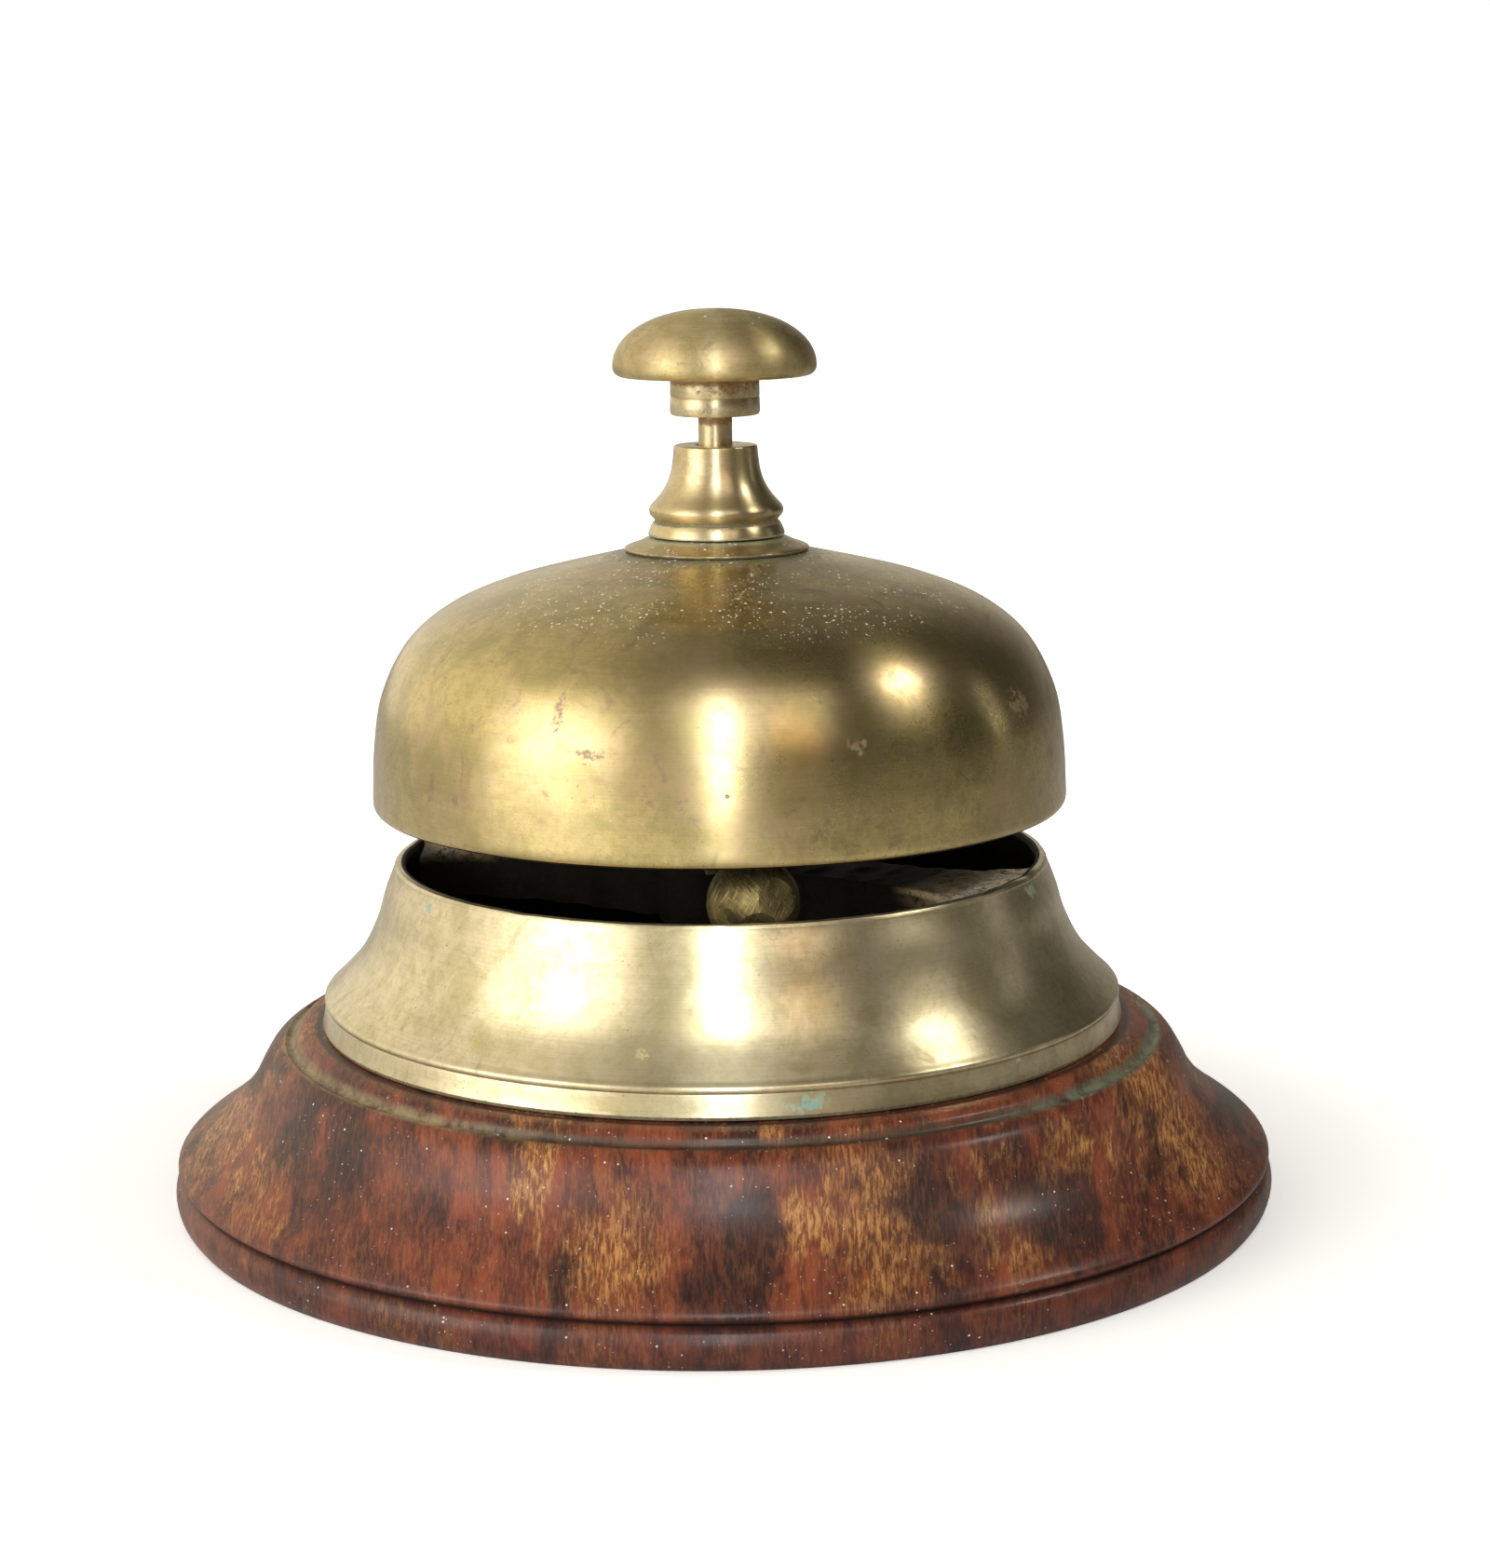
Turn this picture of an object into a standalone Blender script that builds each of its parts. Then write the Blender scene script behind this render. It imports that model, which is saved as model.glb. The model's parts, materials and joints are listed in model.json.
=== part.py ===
"""Push-top counter bell: turned wooden base, cast brass ring, gong, plunger and hammer.

Every length is in millimetres here and becomes metres in the meshes. The origin is the middle of the
underside, +Z is up, and the hammer swings in the vertical plane at HAMMER_BEARING.
"""

from math import atan2, cos, hypot, pi, radians, sin

import bmesh
import bpy
from mathutils import Matrix, Vector

MM = 0.001
GAP = 0.3                    # clearance between pieces that touch
SEGMENTS = 48                # facets round the large turned pieces
FINE = 24                    # facets round the small turned pieces

# wooden base
WOOD_R = 80.0                # underside
WOOD_EDGE_R = 81.2
WOOD_TOP_Z = 26.4            # seat of the brass ring
FELT_R = 75.0
FELT_T = 1.7
SCREW_CIRCLE_R = 49.0
SCREW_HOLE_R = 2.1
SCREW_HEAD_R = 4.1
SCREW_SEAT_Z = 5.6
SCREW_BEARINGS = (30.0, 150.0, 270.0)

# cast base ring
RING_FOOT_R = 59.0
RING_FOOT_Z = WOOD_TOP_Z + GAP
RING_CREASE_R = 58.3
RING_CREASE_Z = 31.2
RING_RIM_R = 48.0
RING_RIM_Z = 50.5
RING_WALL = 1.7
BRIDGE_BEARING = -30.0
BRIDGE_W = 10.0
BRIDGE_TOP_Z = 50.0
BRIDGE_BOTTOM_Z = 41.5
HUB_R = 9.0
HUB_Z = (40.0, 50.1)
LUG_R = 5.0
LUG_TOP_Z = 31.0
LUG_END_R = 57.3

# gong
GONG_LIP_R = 50.7
GONG_LIP_Z = 58.5
GONG_WALL = 2.8
GONG_CROWN_Z = 95.9
GONG_HOLE_R = 4.9

# post that carries the gong and guides the plunger
POST_R = 4.6
POST_BORE_R = 2.8
POST_TENON_R = 3.0
POST_FLANGE_R = 7.6          # shoulder under the gong
POST_TOP_Z = 101.0
POST_BORE_END_Z = 58.0
SPRING_SEAT_Z = 92.0
SHOULDER_Z = 91.0            # the gong rests on a washer here
SPRING_BORE_R = 3.7

# neck and plunger
NECK_FOOT_Z = 97.6
NECK_TOP_Z = 110.5
NECK_BORE_R = 4.9
NECK_CEILING_Z = 108.0
ROD_R = 2.45
COLLAR_R = 6.5
TRAVEL = 4.0                 # full press of the knob
COLLAR_Z = (NECK_TOP_Z + TRAVEL + GAP, 120.1)
KNOB_R = 14.7
KNOB_UNDER_Z = 120.4
KNOB_TOP_Z = 130.0
STOP_Z = (106.4, NECK_CEILING_Z - GAP)

# hammer
HAMMER_BEARING = -83.0
PIVOT_RHO = 11.0             # pivot's distance from the centre line, towards the hammer
PIVOT_Z = 64.0
HALF_SWING = 0.18            # radians to either side of a level tail
TAIL_RHO = -1.8
BAR = 3.0                    # thickness of the lever
HEAD_RHO = 39.0
HEAD_Z = 51.5
HEAD_R = 6.4
FACET = 5.8                  # filed striking face, from the head's centre
ROD_TIP_Z = PIVOT_Z + (BAR / 2 + PIVOT_RHO * sin(HALF_SWING)) / cos(HALF_SWING) + GAP
CHEEK_INNER = 2.2
CHEEK_T = 1.5
PIN_R = 1.25


# ---------------------------------------------------------------- materials
def material(name, colour, roughness, metallic):
    """A plain Principled material."""
    mat = bpy.data.materials.new(name)
    mat.use_nodes = True
    shader = mat.node_tree.nodes["Principled BSDF"]
    shader.inputs["Base Color"].default_value = (*colour, 1.0)
    shader.inputs["Roughness"].default_value = roughness
    shader.inputs["Metallic"].default_value = metallic
    return mat


# ---------------------------------------------------------------- outlines
def arc(cr, cz, radius, start, end, steps):
    """Points on a circle about (cr, cz), from start to end degrees."""
    turns = [radians(start + (end - start) * i / steps) for i in range(steps + 1)]
    return [(cr + radius * cos(a), cz + radius * sin(a)) for a in turns]


def curve(points, steps):
    """A smooth Catmull-Rom curve through the points, steps pieces to a span."""
    ends = [points[0], *points, points[-1]]
    line = []
    for i in range(1, len(ends) - 2):
        p0, p1, p2, p3 = (Vector(p) for p in ends[i - 1:i + 3])
        for k in range(steps):
            t = k / steps
            point = 2 * p1 + (p2 - p0) * t
            point += (2 * p0 - 5 * p1 + 4 * p2 - p3) * t ** 2
            point += (3 * p1 - p0 - 3 * p2 + p3) * t ** 3
            line.append(tuple(point / 2))
    line.append(tuple(points[-1]))
    return line


def inset(points, distance):
    """The line moved sideways by distance, to the right of its direction of travel."""
    moved = []
    for i, (r, z) in enumerate(points):
        before = points[max(i - 1, 0)]
        after = points[min(i + 1, len(points) - 1)]
        dr, dz = after[0] - before[0], after[1] - before[1]
        length = hypot(dr, dz)
        moved.append((r + distance * dz / length, z - distance * dr / length))
    return moved


# ---------------------------------------------------------------- solids
def place(name, bm, mat, matrix=None, parent=None):
    """Turn a bmesh in millimetres into a named object with outward faces."""
    if matrix is not None:
        bmesh.ops.transform(bm, matrix=matrix, verts=bm.verts)
    bmesh.ops.scale(bm, vec=(MM, MM, MM), verts=bm.verts)
    bmesh.ops.remove_doubles(bm, verts=bm.verts, dist=1e-7)
    bmesh.ops.recalc_face_normals(bm, faces=bm.faces)
    mesh = bpy.data.meshes.new(name)
    bm.to_mesh(mesh)
    bm.free()
    mesh.shade_smooth()
    mesh.set_sharp_from_angle(angle=radians(35))
    obj = bpy.data.objects.new(name, mesh)
    bpy.context.collection.objects.link(obj)
    if mat is not None:
        mesh.materials.append(mat)
    if parent is not None:
        obj.data.transform(Matrix.Translation(-parent.location))
        obj.parent = parent
    return obj


def turned(outline, segments):
    """A bmesh turned about Z from a closed (radius, height) outline; radius 0 closes on the axis."""
    bm = bmesh.new()
    rings = []
    for r, z in outline:
        if r < 1e-6:
            rings.append([bm.verts.new((0, 0, z))] * segments)
            continue
        turns = [2 * pi * i / segments for i in range(segments)]
        rings.append([bm.verts.new((r * cos(a), r * sin(a), z)) for a in turns])
    for here, there in zip(rings, rings[1:] + rings[:1]):
        for i in range(segments):
            j = (i + 1) % segments
            corners = [here[i], here[j], there[j], there[i]]
            corners = list(dict.fromkeys(corners))
            if len(corners) > 2:
                bm.faces.new(corners)
    return bm


def block(x, y, z):
    """A rectangular bmesh between the given pairs of limits."""
    bm = bmesh.new()
    bmesh.ops.create_cube(bm, size=1.0)
    size = (x[1] - x[0], y[1] - y[0], z[1] - z[0])
    middle = ((x[0] + x[1]) / 2, (y[0] + y[1]) / 2, (z[0] + z[1]) / 2)
    bmesh.ops.scale(bm, vec=size, verts=bm.verts)
    bmesh.ops.translate(bm, vec=middle, verts=bm.verts)
    return bm


def plate(outline, y):
    """A bmesh with an (x, z) outline, extruded between two y limits."""
    bm = bmesh.new()
    near = [bm.verts.new((px, y[0], pz)) for px, pz in outline]
    far = [bm.verts.new((px, y[1], pz)) for px, pz in outline]
    bm.faces.new(near)
    bm.faces.new(far[::-1])
    for i in range(len(outline)):
        j = (i + 1) % len(outline)
        bm.faces.new((near[i], far[i], far[j], near[j]))
    return bm


def prism(outline, z):
    """A bmesh with an (x, y) outline, extruded between two heights."""
    bm = plate(outline, (-z[1], -z[0]))
    bmesh.ops.rotate(bm, cent=(0, 0, 0), matrix=Matrix.Rotation(radians(-90), 3, "X"), verts=bm.verts)
    bmesh.ops.scale(bm, vec=(1, -1, 1), verts=bm.verts)
    bmesh.ops.recalc_face_normals(bm, faces=bm.faces)
    return bm


def ring_of(shape, spots):
    """One bmesh with a copy of the shape at each spot."""
    whole = bmesh.new()
    for spot in spots:
        mesh = bpy.data.meshes.new("copy")
        copy = shape.copy()
        bmesh.ops.transform(copy, matrix=spot, verts=copy.verts)
        copy.to_mesh(mesh)
        copy.free()
        whole.from_mesh(mesh)
        bpy.data.meshes.remove(mesh)
    shape.free()
    return whole


def cylinder(radius, z, segments=FINE):
    """A solid cylinder between two heights."""
    return turned([(0, z[1]), (radius, z[1]), (radius, z[0]), (0, z[0])], segments)


def tube(outer, inner, z, segments=FINE):
    """A plain bored cylinder between two heights."""
    return turned([(inner, z[1]), (outer, z[1]), (outer, z[0]), (inner, z[0])], segments)


def about_z(degrees):
    return Matrix.Rotation(radians(degrees), 4, "Z")


def combine(target, tool_bm, operation, matrix=None):
    """Join a tool to the target, or cut it away, with an exact Boolean; the tool stays as a wire guide."""
    tool = place(f"{target.name}.tool", tool_bm, None, matrix, target.parent)
    tool.hide_render = True
    tool.display_type = "WIRE"
    step = target.modifiers.new(operation.title(), "BOOLEAN")
    step.operation = operation
    step.solver = "EXACT"
    step.object = tool


# ---------------------------------------------------------------- base
def wooden_base(wood):
    """Turned block: ogee slope, two beads at the edge, a low step round the ring, a recess below."""
    edge = curve([(WOOD_R, 0.0), (WOOD_EDGE_R, 3.2), (79.6, 6.2)], 2)
    upper = curve([(79.6, 6.2), (WOOD_EDGE_R - 0.3, 7.4), (77.1, 10.4), (72.8, 13.9), (69.7, 17.4)], 2)
    shoulder = curve([(69.7, 17.4), (68.2, 20.4), (66.3, 23.4), (63.6, 25.4), (61.4, WOOD_TOP_Z)], 2)
    recess_z = FELT_T + GAP
    outline = [*edge, *upper[1:], *shoulder[1:], (0, WOOD_TOP_Z), (0, recess_z),
               (FELT_R + GAP, recess_z), (FELT_R + GAP, 0.0)]
    base = place("wooden_base", turned(outline, SEGMENTS), wood)
    seat_z = SCREW_SEAT_Z + GAP
    clear_r = SCREW_HEAD_R + 0.5
    hole = turned([(0, WOOD_TOP_Z + 1), (SCREW_HOLE_R, WOOD_TOP_Z + 1), (SCREW_HOLE_R, seat_z),
                   (clear_r, seat_z), (clear_r, recess_z - 1), (0, recess_z - 1)], 20)
    spots = [about_z(bearing) @ Matrix.Translation((SCREW_CIRCLE_R, 0, 0)) for bearing in SCREW_BEARINGS]
    combine(base, ring_of(hole, spots), "DIFFERENCE")


def felt_pad(felt):
    place("felt_pad", cylinder(FELT_R, (0.0, FELT_T), SEGMENTS), felt)


def base_ring(brass):
    """Flared ring with a lower band, a bridge bar across it, a hub for the post and three screw lugs."""
    flare = curve([(RING_RIM_R, RING_RIM_Z - 0.6), (49.4, 46.0), (50.8, 41.5), (53.6, 36.2),
                   (RING_CREASE_R, RING_CREASE_Z)], 2)
    outer = [(RING_RIM_R - 0.3, RING_RIM_Z), *flare, (RING_CREASE_R + 0.1, RING_CREASE_Z - 0.6),
             (RING_FOOT_R, RING_FOOT_Z)]
    inner = inset([(RING_RIM_R, RING_RIM_Z), *flare[1:]], RING_WALL)
    inner[0] = (inner[0][0], RING_RIM_Z)
    inner.append((RING_FOOT_R - 3.0, RING_FOOT_Z))
    ring = place("base_ring", turned(outer + inner[::-1], SEGMENTS), brass)
    # the bar's ends lie inside the wall, which slopes outwards below the rim
    slope = [(RING_RIM_R - 0.9, BRIDGE_TOP_Z), (49.8, BRIDGE_BOTTOM_Z)]
    bar = plate([*slope, *[(-x, z) for x, z in slope[::-1]]], (-BRIDGE_W / 2, BRIDGE_W / 2))
    combine(ring, bar, "UNION", about_z(BRIDGE_BEARING))
    # each end spreads into a pad, flush with the bar's top
    pad = [(35.0, -BRIDGE_W / 2 + 0.2), (43.0, -9.4), *arc(0, 0, RING_RIM_R - 0.7, -14, 14, 6), (43.0, 9.4),
           (35.0, BRIDGE_W / 2 - 0.2)]
    ends = [about_z(BRIDGE_BEARING), about_z(BRIDGE_BEARING + 180)]
    combine(ring, ring_of(prism(pad, (BRIDGE_TOP_Z - 4.0, BRIDGE_TOP_Z - 0.2)), ends), "UNION")
    combine(ring, cylinder(HUB_R, HUB_Z), "UNION")
    lug = [*arc(SCREW_CIRCLE_R, 0, LUG_R, 90, 270, 10), (LUG_END_R, -LUG_R), (LUG_END_R, LUG_R)]
    bearings = [about_z(bearing) for bearing in SCREW_BEARINGS]
    combine(ring, ring_of(prism(lug, (RING_FOOT_Z, LUG_TOP_Z)), bearings), "UNION")
    spots = [turn @ Matrix.Translation((SCREW_CIRCLE_R, 0, 0)) for turn in bearings]
    hole = cylinder(SCREW_HOLE_R, (RING_FOOT_Z - 1, LUG_TOP_Z + 1), 20)
    combine(ring, ring_of(hole, spots), "DIFFERENCE")
    combine(ring, cylinder(POST_TENON_R + GAP, (BRIDGE_BOTTOM_Z - 3, BRIDGE_TOP_Z + 2)), "DIFFERENCE")


def ring_screws(steel):
    """Slotted screws that go up through the wood into the lugs."""
    for number, bearing in enumerate(SCREW_BEARINGS, 1):
        spot = about_z(bearing) @ Matrix.Translation((SCREW_CIRCLE_R, 0, 0))
        outline = [(0, LUG_TOP_Z - 0.2), (1.3, LUG_TOP_Z - 0.2), (1.8, LUG_TOP_Z - 1.0),
                   (1.8, SCREW_SEAT_Z), (SCREW_HEAD_R, SCREW_SEAT_Z), (SCREW_HEAD_R, 3.6),
                   (3.2, 2.6), (0, 2.6)]
        screw = place(f"ring_screw_{number}", turned(outline, 20), steel, spot)
        combine(screw, block((-5, 5), (-0.5, 0.5), (2.0, 3.5)), "DIFFERENCE", spot)


# ---------------------------------------------------------------- post and gong
def post(brass):
    """Bored post: tenon through the hub, slot for the lever's tail, counterbore for the spring."""
    foot_z = HUB_Z[1] + GAP + CHEEK_T + GAP
    outline = [(POST_BORE_R, POST_BORE_END_Z), (POST_BORE_R, SPRING_SEAT_Z), (SPRING_BORE_R, SPRING_SEAT_Z),
               (SPRING_BORE_R, POST_TOP_Z), (POST_R, POST_TOP_Z), (POST_R, SHOULDER_Z),
               (POST_FLANGE_R, SHOULDER_Z), (POST_FLANGE_R, SHOULDER_Z - 2.4),
               (POST_R + 0.6, SHOULDER_Z - 4.8), (POST_R, SHOULDER_Z - 6.0), (POST_R, foot_z),
               (POST_TENON_R, foot_z), (POST_TENON_R, 33.4), (0, 33.4), (0, POST_BORE_END_Z)]
    body = place("center_post", turned(outline, FINE), brass)
    slot = block((0.0, POST_R + 1), (-2.0, 2.0), (60.0, 68.6))
    combine(body, slot, "DIFFERENCE", about_z(HAMMER_BEARING))


def post_fixings(brass):
    """Washer and hexagon nut that hold the post under the hub."""
    washer_t, nut_t = 1.2, 4.2
    bore = POST_TENON_R + GAP
    under = HUB_Z[0] - GAP
    place("post_washer", tube(7.0, bore, (under - washer_t, under), 24), brass)
    top = under - washer_t - GAP
    nut = place("post_nut", cylinder(6.4, (top - nut_t, top), 6), brass)
    combine(nut, cylinder(bore, (top - 6, top + 2), 24), "DIFFERENCE")


def gong(brass):
    """Spun bell with a thick wall and a rounded lip."""
    lip_z = GONG_LIP_Z + GONG_WALL / 2
    outer = curve([(9.0, GONG_CROWN_Z), (13.4, 95.2), (24.0, 92.8), (31.7, 90.7), (39.4, 87.4),
                   (45.3, 82.4), (49.0, 75.2), (50.3, 67.8), (GONG_LIP_R, lip_z)], 2)
    inner = inset(outer, GONG_WALL)
    inner = [(r, z) for r, z in inner[1:-1] if r > GONG_HOLE_R + 1]
    lip = arc(GONG_LIP_R - GONG_WALL / 2, lip_z, GONG_WALL / 2, 0, -180, 6)
    outline = [(GONG_HOLE_R, GONG_CROWN_Z), *outer[:-1], *lip, *inner[::-1],
               (GONG_HOLE_R, GONG_CROWN_Z - GONG_WALL)]
    place("gong", turned(outline, SEGMENTS), brass)


def seat_washer(fibre):
    """Fibre washer between the post's shoulder and the gong."""
    top = GONG_CROWN_Z - GONG_WALL - GAP
    place("seat_washer", tube(7.0, GONG_HOLE_R, (SHOULDER_Z + GAP, top), 32), fibre)


def skirt_washer(brass):
    """Dished washer between the gong and the neck."""
    top_z = NECK_FOOT_Z - GAP
    under_z = GONG_CROWN_Z + GAP
    outline = [(GONG_HOLE_R, top_z), (9.9, top_z), *arc(12.6, 96.0, 0.8, 60, -60, 4), (9.4, under_z),
               (GONG_HOLE_R, under_z)]
    place("skirt_washer", turned(outline, 32), brass)


def neck(brass):
    """Turned finial over the post: cupped top, waist, bead, groove and foot; hollow for the spring."""
    waist = curve([(6.05, NECK_TOP_Z - 0.3), (6.4, 107.3), (7.0, 105.3), (8.0, 103.6), (9.2, 102.1)], 2)
    bead = arc(8.8, 101.1, 0.95, 45, -70, 4)
    foot = [(9.0, 99.6), (9.4, 99.1), (9.9, 98.2), (9.9, NECK_FOOT_Z)]
    bore = [(NECK_BORE_R, NECK_FOOT_Z), (NECK_BORE_R, NECK_CEILING_Z), (ROD_R + GAP, NECK_CEILING_Z),
            (ROD_R + GAP, NECK_TOP_Z)]
    outline = [(5.75, NECK_TOP_Z), *waist, *bead, *foot, *bore]
    place("neck", turned(outline, 32), brass)


def spring(steel):
    """Compression spring on the rod, between the post's seat and the stop collar."""
    wire, mean, turns, sides, steps = 0.3, 3.1, 6, 6, 12
    low = SPRING_SEAT_Z + GAP + wire
    high = STOP_Z[0] - GAP - wire
    bm = bmesh.new()
    rings = []
    for i in range(turns * steps + 1):
        angle = 2 * pi * i / steps
        centre = Vector((mean * cos(angle), mean * sin(angle), low + (high - low) * i / (turns * steps)))
        out = Vector((cos(angle), sin(angle), 0))
        ring = []
        for k in range(sides):
            around = 2 * pi * k / sides
            ring.append(bm.verts.new(centre + wire * (out * cos(around) + Vector((0, 0, sin(around))))))
        rings.append(ring)
    for here, there in zip(rings, rings[1:]):
        for k in range(sides):
            m = (k + 1) % sides
            bm.faces.new((here[k], here[m], there[m], there[k]))
    bm.faces.new(rings[0])
    bm.faces.new(rings[-1])
    place("return_spring", bm, steel)


# ---------------------------------------------------------------- plunger
def plunger(brass, steel):
    """Knob, collar, rod and stop collar, which slide together."""
    body = bpy.data.objects.new("plunger", None)
    body.location = (0, 0, KNOB_UNDER_Z * MM)
    bpy.context.collection.objects.link(body)
    dome_z, rise = 122.0, KNOB_TOP_Z - 122.0
    quarter = [radians(90 * i / 8) for i in range(1, 9)]
    dome = [(KNOB_R * sin(a) ** 0.92, dome_z + rise * cos(a)) for a in quarter]
    under = arc(KNOB_R - 1.4, dome_z - 0.2, 1.4, -20, -90, 4)
    bore = [(ROD_R + GAP, KNOB_UNDER_Z), (ROD_R + GAP, 126.0), (0, 126.0)]
    place("press_knob", turned([(0, KNOB_TOP_Z), *dome, *under, *bore], 32), brass, parent=body)
    low, high = COLLAR_Z
    ring = [(ROD_R + GAP, high), (COLLAR_R - 0.1, high), (COLLAR_R, low + 0.5), (COLLAR_R - 0.4, low),
            (ROD_R + GAP, low)]
    place("knob_collar", turned(ring, 32), brass, parent=body)
    groove = [(ROD_R, STOP_Z[1] + GAP), (ROD_R - 0.35, STOP_Z[1] + GAP), (ROD_R - 0.35, STOP_Z[0] - GAP),
              (ROD_R, STOP_Z[0] - GAP)]
    tip = arc(0, ROD_TIP_Z + ROD_R, ROD_R, 0, -90, 5)[:-1]
    rod = [(0, 125.7), (ROD_R - 0.4, 125.7), (ROD_R, 125.2), *groove, *tip, (0, ROD_TIP_Z)]
    place("plunger_rod", turned(rod, 24), brass, parent=body)
    place("stop_collar", tube(4.4, ROD_R - 0.05, STOP_Z, 24), steel, parent=body)


# ---------------------------------------------------------------- hammer
def bracket(brass):
    """Folded bracket clamped under the post, with two cheeks for the pivot pin."""
    floor_z = HUB_Z[1] + GAP
    turn = about_z(HAMMER_BEARING)
    outer = CHEEK_INNER + CHEEK_T
    reach = 15.0
    plan = [(reach, -outer - 0.1), (reach, outer + 0.1), *arc(0, 0, 7.6, 30, 330, 24)]
    foot = place("hammer_bracket", prism(plan, (floor_z, floor_z + CHEEK_T)), brass, turn)
    ear = [(7.9, floor_z + 0.7), (reach - 0.1, floor_z + 0.7), *arc(PIVOT_RHO, PIVOT_Z, 3.4, -10, 190, 10)]
    cheeks = ring_of(plate(ear, (CHEEK_INNER, outer)), [about_z(0), Matrix.Scale(-1, 4, (0, 1, 0))])
    bmesh.ops.recalc_face_normals(cheeks, faces=cheeks.faces)
    combine(foot, cheeks, "UNION", turn)
    combine(foot, cylinder(POST_TENON_R + GAP, (floor_z - 2, floor_z + 4)), "DIFFERENCE", turn)
    combine(foot, cylinder(PIN_R + GAP, (-8, 8), 20), "DIFFERENCE", pivot_frame())


def pivot_frame():
    """Places a shape that is turned about Z on the hammer's pivot axis."""
    across = Matrix.Rotation(radians(90), 4, "X")
    return about_z(HAMMER_BEARING) @ Matrix.Translation((PIVOT_RHO, 0, PIVOT_Z)) @ across


def pivot_pin(steel):
    """Headed pin through both cheeks and the lever."""
    outer = CHEEK_INNER + CHEEK_T
    head = outer + GAP
    outline = [(0, head + 1.0), (1.6, head + 1.0), (2.3, head + 0.4), (2.3, head), (PIN_R, head),
               (PIN_R, -head), (0.9, -head - 0.4), (0, -head - 0.4)]
    place("pivot_pin", turned(outline, 20), steel, pivot_frame())


def hammer(brass, steel):
    """Lever, lock nut and head, which swing together about the pivot pin."""
    turn = about_z(HAMMER_BEARING)
    body = bpy.data.objects.new("hammer", None)
    body.location = (turn @ Vector((PIVOT_RHO, 0, PIVOT_Z))) * MM
    bpy.context.collection.objects.link(body)
    head_dir = Vector((HEAD_RHO - PIVOT_RHO, 0, HEAD_Z - PIVOT_Z))
    arm_length = head_dir.length
    arm_pitch = -atan2(head_dir.z, head_dir.x)

    # stations along the lever: (distance from the pivot, pitch below level, half height, half width)
    tail_dir = Vector((cos(HALF_SWING), 0, -sin(HALF_SWING)))
    arm_dir = head_dir.normalized()
    half = BAR / 2
    tail_x = (TAIL_RHO - PIVOT_RHO) / cos(HALF_SWING)
    stations = [(tail_x, tail_dir, half), (-3.5, tail_dir, half), (-2.2, tail_dir, 2.6),
                (0.0, tail_dir, 3.0), (2.2, arm_dir, 2.6), (3.8, arm_dir, half),
                (arm_length - 11.0, arm_dir, half), (arm_length - 0.8, arm_dir, half)]
    bm = bmesh.new()
    rings = []
    sides = 12
    for distance, along, height in stations:
        across = Vector((0, 1, 0))
        up = along.cross(across)
        round_part = distance > 4.0
        ring = []
        for k in range(sides):
            angle = 2 * pi * (k + 0.5) / sides
            c, s = cos(angle), sin(angle)
            if not round_part:
                c, s = (max(-1.0, min(1.0, 1.38 * v)) for v in (c, s))
            ring.append(bm.verts.new(along * distance + across * half * c + up * height * s))
        rings.append(ring)
    for here, there in zip(rings, rings[1:]):
        for k in range(sides):
            m = (k + 1) % sides
            bm.faces.new((here[k], here[m], there[m], there[k]))
    bm.faces.new(rings[0])
    bm.faces.new(rings[-1])
    at_pivot = turn @ Matrix.Translation((PIVOT_RHO, 0, PIVOT_Z))
    lever = place("hammer_lever", bm, steel, at_pivot, body)
    combine(lever, cylinder(PIN_R + GAP, (-8, 8), 20), "DIFFERENCE", pivot_frame())

    along_arm = at_pivot @ Matrix.Rotation(arm_pitch + pi / 2, 4, "Y")
    ball = [radians(angle) for angle in (152, 135, 118, 101, 84, 67, 50, 37)]
    outline = [(HEAD_R * sin(a), HEAD_R * cos(a)) for a in ball]
    edge_r = (HEAD_R ** 2 - FACET ** 2) ** 0.5
    outline = [(1.9, -7.2), (3.2, -7.2), (3.4, -6.2), *outline[1:], (edge_r, FACET), (0, FACET), (0, 0.0),
               (half + GAP, 0.0)]
    centre = along_arm @ Matrix.Translation((0, 0, arm_length))
    place("hammer_head", turned(outline, 24), brass, centre, body)
    nut = place("hammer_nut", cylinder(3.2, (-10.0, -7.5), 6), brass, centre, body)
    combine(nut, cylinder(half + GAP, (-12.0, -5.0), 20), "DIFFERENCE", centre)


def main():
    for obj in list(bpy.data.objects):
        bpy.data.objects.remove(obj, do_unlink=True)
    brass = material("satin_brass", (0.55, 0.42, 0.17), 0.34, 1.0)
    cast = material("cast_brass", (0.45, 0.35, 0.15), 0.5, 1.0)
    steel = material("steel", (0.42, 0.41, 0.39), 0.4, 1.0)
    wood = material("lacquered_wood", (0.16, 0.035, 0.015), 0.4, 0.0)
    felt = material("green_felt", (0.02, 0.06, 0.03), 0.95, 0.0)
    fibre = material("red_fibre", (0.25, 0.05, 0.03), 0.8, 0.0)
    wooden_base(wood)
    felt_pad(felt)
    base_ring(cast)
    ring_screws(steel)
    post(brass)
    post_fixings(brass)
    bracket(brass)
    pivot_pin(steel)
    seat_washer(fibre)
    gong(brass)
    skirt_washer(brass)
    neck(brass)
    spring(steel)
    plunger(brass, steel)
    hammer(brass, steel)


main()
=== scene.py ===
"""Looks of the push-top counter bell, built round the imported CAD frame.

Lengths in the outlines are millimetres, about the same axis as the CAD nodes.
"""

import json
from math import atan2, cos, hypot, pi, radians, sin

import bmesh
import bpy
from mathutils import Matrix, Vector, noise


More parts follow.
